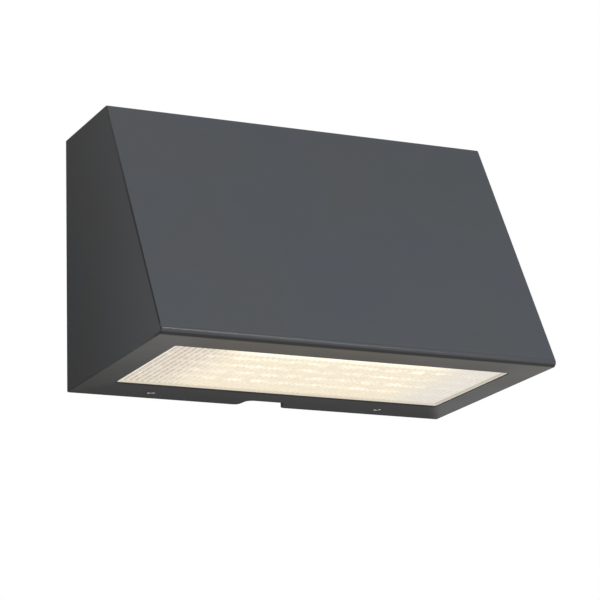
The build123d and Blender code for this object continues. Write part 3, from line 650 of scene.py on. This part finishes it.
mouldings = {
    "white_reflector": {"colour": (0.88, 0.88, 0.86), "shade": (0.80, 0.80, 0.78), "rough": 0.50},
    "connector_white": {"colour": (0.84, 0.83, 0.78), "shade": (0.74, 0.73, 0.68), "rough": 0.42},
    "driver_white": {"colour": (0.80, 0.80, 0.78), "shade": (0.70, 0.70, 0.68), "rough": 0.46},
    "terminal_nylon": {"colour": (0.78, 0.77, 0.71), "shade": (0.66, 0.65, 0.59), "rough": 0.40},
    "component_black": {"colour": (0.045, 0.045, 0.05), "shade": (0.09, 0.085, 0.08), "rough": 0.38},
}

mouldedLook = {
    "cloud": 18 * mm,
    "cloudRange": (0.30, 0.75),
    "cloudShare": 0.45,
    "cloudRough": 0.05,
    "spark": 0.5 * mm,
    "sparkRough": 0.10,
    "relief": 0.03 * mm,
    "reliefShare": 0.3,
    "specular": 0.4,
}


def mouldedPlastic(name, given):
    material, shader, place = startFinish(name)
    clouds = noise(place, mouldedLook["cloud"], 2.0).rise(*mouldedLook["cloudRange"])
    spark = noise(place, mouldedLook["spark"], 2.0)
    rough = given["rough"] + mouldedLook["sparkRough"] * (spark - 0.5) + mouldedLook["cloudRough"] * clouds
    plug(material.node_tree, shader, {
        "Base Color": (mouldedLook["cloudShare"] * clouds).toward(given["colour"], given["shade"]),
        "Roughness": rough,
        "Normal": relief(place, spark, mouldedLook["relief"], mouldedLook["reliefShare"]),
        "Specular IOR Level": mouldedLook["specular"],
    })
    return material


# Rubber, foam, silicone and the thermal pad

softs = {
    "black_rubber": {
        "colour": (0.022, 0.022, 0.024), "shade": (0.05, 0.05, 0.052), "rough": 0.62, "cell": 0.6 * mm,
    },
    "grey_foam": {
        "colour": (0.085, 0.085, 0.09), "shade": (0.14, 0.14, 0.145), "rough": 0.86, "cell": 1.1 * mm,
    },
    "clear_silicone": {
        "colour": (0.70, 0.70, 0.68), "shade": (0.58, 0.58, 0.56), "rough": 0.34, "cell": 2.4 * mm,
    },
    "pad_grey": {
        "colour": (0.42, 0.44, 0.47), "shade": (0.33, 0.35, 0.38), "rough": 0.74, "cell": 0.8 * mm,
    },
}

softLook = {
    "cellShare": 0.6,
    "cloud": 9 * mm,
    "cloudShare": 0.5,
    "cloudRough": 0.08,
    "toneRange": (0.25, 0.85),
    "relief": 0.12 * mm,
    "reliefShare": 0.35,
    "specular": 0.35,
}


def softCompound(name, given):
    material, shader, place = startFinish(name)
    sockets = {"Vector": place, "Scale": 1.0 / given["cell"]}
    cells = place.add("ShaderNodeTexVoronoi", {"feature": "F1"}, sockets)
    clouds = noise(place, softLook["cloud"], 2.0)
    tone = softLook["cellShare"] * cells + softLook["cloudShare"] * clouds
    plug(material.node_tree, shader, {
        "Base Color": tone.rise(*softLook["toneRange"]).toward(given["colour"], given["shade"]),
        "Roughness": given["rough"] + softLook["cloudRough"] * clouds,
        "Normal": relief(place, cells, softLook["relief"], softLook["reliefShare"]),
        "Specular IOR Level": softLook["specular"],
    })
    return material


# Insulation of the leads

insulations = {
    "brown_lead": {"colour": (0.17, 0.075, 0.035)},
    "blue_lead": {"colour": (0.045, 0.13, 0.42)},
    "earth_insulation": {"colour": (0.10, 0.34, 0.07), "stripe": (0.72, 0.60, 0.05), "node": "earth_lead"},
    "red_lead": {"colour": (0.48, 0.035, 0.028)},
    "black_lead": {"colour": (0.03, 0.03, 0.032)},
}

leadLook = {
    "ripple": 6 * mm,
    "darker": 0.7,
    "stripeFade": (0.05 * mm, 0.25 * mm),
    "scuff": 1.6 * mm,
    "scuffRange": (0.55, 0.75),
    "rough": 0.34,
    "scuffRough": 0.18,
    "relief": 0.05 * mm,
    "reliefShare": 0.3,
}


def leadInsulation(name, given):
    material, shader, place = startFinish(name)
    scuffs = noise(place, leadLook["scuff"], 3.0).rise(*leadLook["scuffRange"])
    ripple = noise(place, leadLook["ripple"], 1.0)
    darker = tuple(leadLook["darker"] * part for part in given["colour"])
    colour = ripple.toward(given["colour"], darker)
    if "stripe" in given:
        low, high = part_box(given["node"])
        upper = (axesOf(place)[2] - (low.z + high.z) / 2).rise(*leadLook["stripeFade"])
        colour = upper.toward(colour, given["stripe"])
    plug(material.node_tree, shader, {
        "Base Color": colour,
        "Roughness": leadLook["rough"] + leadLook["scuffRough"] * scuffs,
        "Normal": relief(place, ripple, leadLook["relief"], leadLook["reliefShare"]),
    })
    return material


# Circuit boards and LEDs

boards = {
    "white_board": {"mask": (0.84, 0.84, 0.82), "track": (0.74, 0.74, 0.71), "rough": 0.34},
    "green_board": {"mask": (0.025, 0.16, 0.07), "track": (0.06, 0.27, 0.12), "rough": 0.30},
}

boardLook = {
    "trackPitch": 7.0 * mm,
    "trackWidth": 0.08,
    "trackEdge": 0.1,
    "brickOffset": 0.35,
    "brickSquash": 1.6,
    "cloud": 14 * mm,
    "cloudShare": 0.2,
    "cloudRough": 0.10,
    "relief": 0.04 * mm,
    "reliefShare": 0.4,
}


def circuitBoard(name, given):
    # solder mask with the copper tracks showing faintly through it
    material, shader, place = startFinish(name)
    layout = {"offset": boardLook["brickOffset"], "squash": boardLook["brickSquash"]}
    tracks = place.add("ShaderNodeTexBrick", layout, {
        "Vector": place,
        "Color1": (1.0, 1.0, 1.0),
        "Color2": (1.0, 1.0, 1.0),
        "Mortar": (0.0, 0.0, 0.0),
        "Scale": 1.0 / boardLook["trackPitch"],
        "Mortar Size": boardLook["trackWidth"],
        "Mortar Smooth": boardLook["trackEdge"],
    }, "Fac")
    clouds = noise(place, boardLook["cloud"], 2.0)
    colour = tracks.toward(given["mask"], given["track"])
    colour = (boardLook["cloudShare"] * clouds).toward(colour, given["track"])
    plug(material.node_tree, shader, {
        "Base Color": colour,
        "Roughness": given["rough"] + boardLook["cloudRough"] * clouds,
        "Normal": relief(place, tracks, boardLook["relief"], boardLook["reliefShare"]),
    })
    return material


emitter = {
    "pitch": 17.0 * mm,
    "core": (1.15 * mm, 1.30 * mm),
    "grain": 0.25 * mm,
    "phosphorDeep": (0.95, 0.66, 0.16),
    "phosphorPale": (1.0, 0.78, 0.30),
    "package": (0.85, 0.85, 0.82),
    "packageGlow": (0.06, 0.05, 0.04),
    "coreGlow": (1.0, 0.84, 0.55),
    "strength": 1.5,
    "rough": 0.40,
    "grainRough": 0.15,
    "relief": 0.1 * mm,
    "reliefShare": 0.4,
}


def warmEmitter():
    # a phosphor disc in each white package
    material, shader, place = startFinish("warm_emitter")
    low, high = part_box("led_emitters")
    x, y = axesOf(place)[:2]
    offX = x.cell(emitter["pitch"])
    offY = (y - (low.y + high.y) / 2).cell(emitter["pitch"])
    reach = (offX * offX + offY * offY).calc("SQRT")
    core = 1 - reach.rise(*emitter["core"])
    grain = noise(place, emitter["grain"], 2.0)
    phosphor = grain.toward(emitter["phosphorDeep"], emitter["phosphorPale"])
    plug(material.node_tree, shader, {
        "Base Color": core.toward(emitter["package"], phosphor),
        "Roughness": emitter["rough"] + emitter["grainRough"] * grain,
        "Emission Color": core.toward(emitter["packageGlow"], emitter["coreGlow"]),
        "Emission Strength": emitter["strength"],
        "Normal": relief(place, core, emitter["relief"], emitter["reliefShare"]),
    })
    return material


def dressNodes():
    # every CAD node gets the finish that its material slot names; the panel's is made with its piece
    finishes = {"anthracite_coat": anthraciteCoat(), "warm_emitter": warmEmitter()}
    for group, make in (
        (boards, circuitBoard),
        (metals, plainMetal),
        (mouldings, mouldedPlastic),
        (softs, softCompound),
        (insulations, leadInsulation),
    ):
        for name, given in group.items():
            finishes[name] = make(name, given)
    for part in record["subparts"]:
        finish = finishes.get(part["material_slot"])
        if finish:
            for slot in nodes[part["node"]].material_slots:
                slot.material = finish
    print("finishes:", len(finishes))


# Stage, light and camera

stage = {
    "floorDrop": 2.3,
    "floorRadius": 5.0,
    "floorSides": 96,
    "fadeStart": 1.5,
    "floorTone": (0.80, 0.80, 0.79),
    "mottle": 0.4,
    "mottleTone": 0.97,
    "floorRough": 0.85,
    "floorSpecular": 0.1,
    "floorWhite": 0.9,
    "ambient": 0.10,
    "lampAim": (0.0, -0.08, 0.0),
}

lamps = {
    "key": {"place": (0.36, -1.25, 0.80), "size": 0.50, "watts": 10.2, "colour": (0.95, 0.98, 1.0)},
    "glint": {"place": (0.58, -1.36, 0.22), "size": 0.24, "watts": 2.8, "colour": (1.0, 1.0, 1.0)},
    "leftFill": {"place": (-0.60, -0.20, 0.60), "size": 0.30, "watts": 2.8, "colour": (1.0, 0.89, 0.74)},
    "lowRight": {"place": (0.55, -0.36, -0.38), "size": 0.40, "watts": 1.7, "colour": (1.0, 0.88, 0.74)},
    "lowLeft": {"place": (-0.25, -0.45, -0.45), "size": 0.40, "watts": 0.98, "colour": (1.0, 0.88, 0.74)},
    "topBack": {"place": (0.40, 1.00, 1.70), "size": 1.20, "watts": 20.0, "colour": (1.0, 1.0, 1.0)},
}

view = {
    "place": (-0.66446, -1.47727, -0.44666),
    "azimuth": -25.233,
    "elevation": -15.001,
    "roll": 1.666,
    "lens": 154.97,
    "sensor": 36.0,
    "clipStart": 0.05,
}


def seenRays(tree):
    # 1 for the rays that show the background itself or its reflection
    path = tree.nodes.new("ShaderNodeLightPath")
    camera, glossy, through = [
        Shade(tree, path.outputs[name]) for name in ("Is Camera Ray", "Is Glossy Ray", "Is Transmission Ray")
    ]
    return camera.calc("MAXIMUM", glossy).calc("MAXIMUM", through)


def buildWorld():
    world = bpy.data.worlds.new("studio")
    world.use_nodes = True
    tree = world.node_tree
    level = stage["ambient"]
    colour = seenRays(tree).toward((level, level, level), (1.0, 1.0, 1.0))
    plug(tree, tree.nodes["Background"], {"Color": colour, "Strength": 1.0})
    scene.world = world


def buildFloor():
    mesh = bmesh.new()
    spot = Matrix.Translation((0.0, 0.0, cadBox[0][2] - stage["floorDrop"]))
    sides, radius = stage["floorSides"], stage["floorRadius"]
    bmesh.ops.create_circle(mesh, cap_ends=True, segments=sides, radius=radius, matrix=spot)
    data = bpy.data.meshes.new("floor")
    mesh.to_mesh(data)
    mesh.free()
    material, shader, place = startFinish("floorPaper")
    tree = material.node_tree
    mottle = noise(place, stage["mottle"], 2.0)
    dim = tuple(stage["mottleTone"] * part for part in stage["floorTone"])
    plug(tree, shader, {
        "Base Color": mottle.toward(stage["floorTone"], dim),
        "Roughness": stage["floorRough"],
        "Specular IOR Level": stage["floorSpecular"],
    })
    # the floor reads as white paper, keeps a trace of the shadow and fades into the background
    x, y = axesOf(place)[:2]
    outward = (x * x + y * y).calc("SQRT").rise(stage["fadeStart"], radius)
    whiteness = stage["floorWhite"] + (1 - stage["floorWhite"]) * outward
    white = place.add("ShaderNodeEmission", None, {"Color": (1.0, 1.0, 1.0), "Strength": 1.0})
    paper = Shade(tree, shader.outputs[0])
    both = place.add("ShaderNodeMixShader", None, {0: whiteness * seenRays(tree), 1: paper, 2: white})
    tree.links.new(both.out, tree.nodes["Material Output"].inputs["Surface"])
    data.materials.append(material)
    floor = bpy.data.objects.new("floor", data)
    scene.collection.objects.link(floor)


def buildLamps():
    aim = Vector(stage["lampAim"])
    for name, given in lamps.items():
        light = bpy.data.lights.new(name, "AREA")
        light.shape = "DISK"
        light.size = given["size"]
        light.energy = given["watts"]
        light.color = given["colour"]
        lamp = bpy.data.objects.new(name, light)
        lamp.location = given["place"]
        lamp.rotation_euler = (aim - lamp.location).to_track_quat("-Z", "Y").to_euler()
        lamp.visible_camera = False
        scene.collection.objects.link(lamp)


def buildCamera():
    turn = math.radians(view["azimuth"])
    lift = math.radians(view["elevation"])
    roll = math.radians(view["roll"])
    back = Vector((math.sin(turn) * math.cos(lift), -math.cos(turn) * math.cos(lift), math.sin(lift)))
    level = (-back).cross(Vector((0, 0, 1))).normalized()
    down = (-back).cross(level)
    right = math.cos(roll) * level + math.sin(roll) * down
    up = back.cross(right)
    data = bpy.data.cameras.new("photoCamera")
    data.lens = view["lens"]
    data.sensor_width = view["sensor"]
    data.sensor_fit = "HORIZONTAL"
    data.clip_start = view["clipStart"]
    camera = bpy.data.objects.new("photoCamera", data)
    axes = Matrix((right, up, back)).transposed().to_4x4()
    camera.matrix_world = Matrix.Translation(view["place"]) @ axes
    scene.collection.objects.link(camera)
    scene.camera = camera


dressNodes()
prismPanel()
buildWorld()
buildFloor()
buildLamps()
buildCamera()
scene.view_settings.view_transform = "Standard"
print("stage, light and camera set")
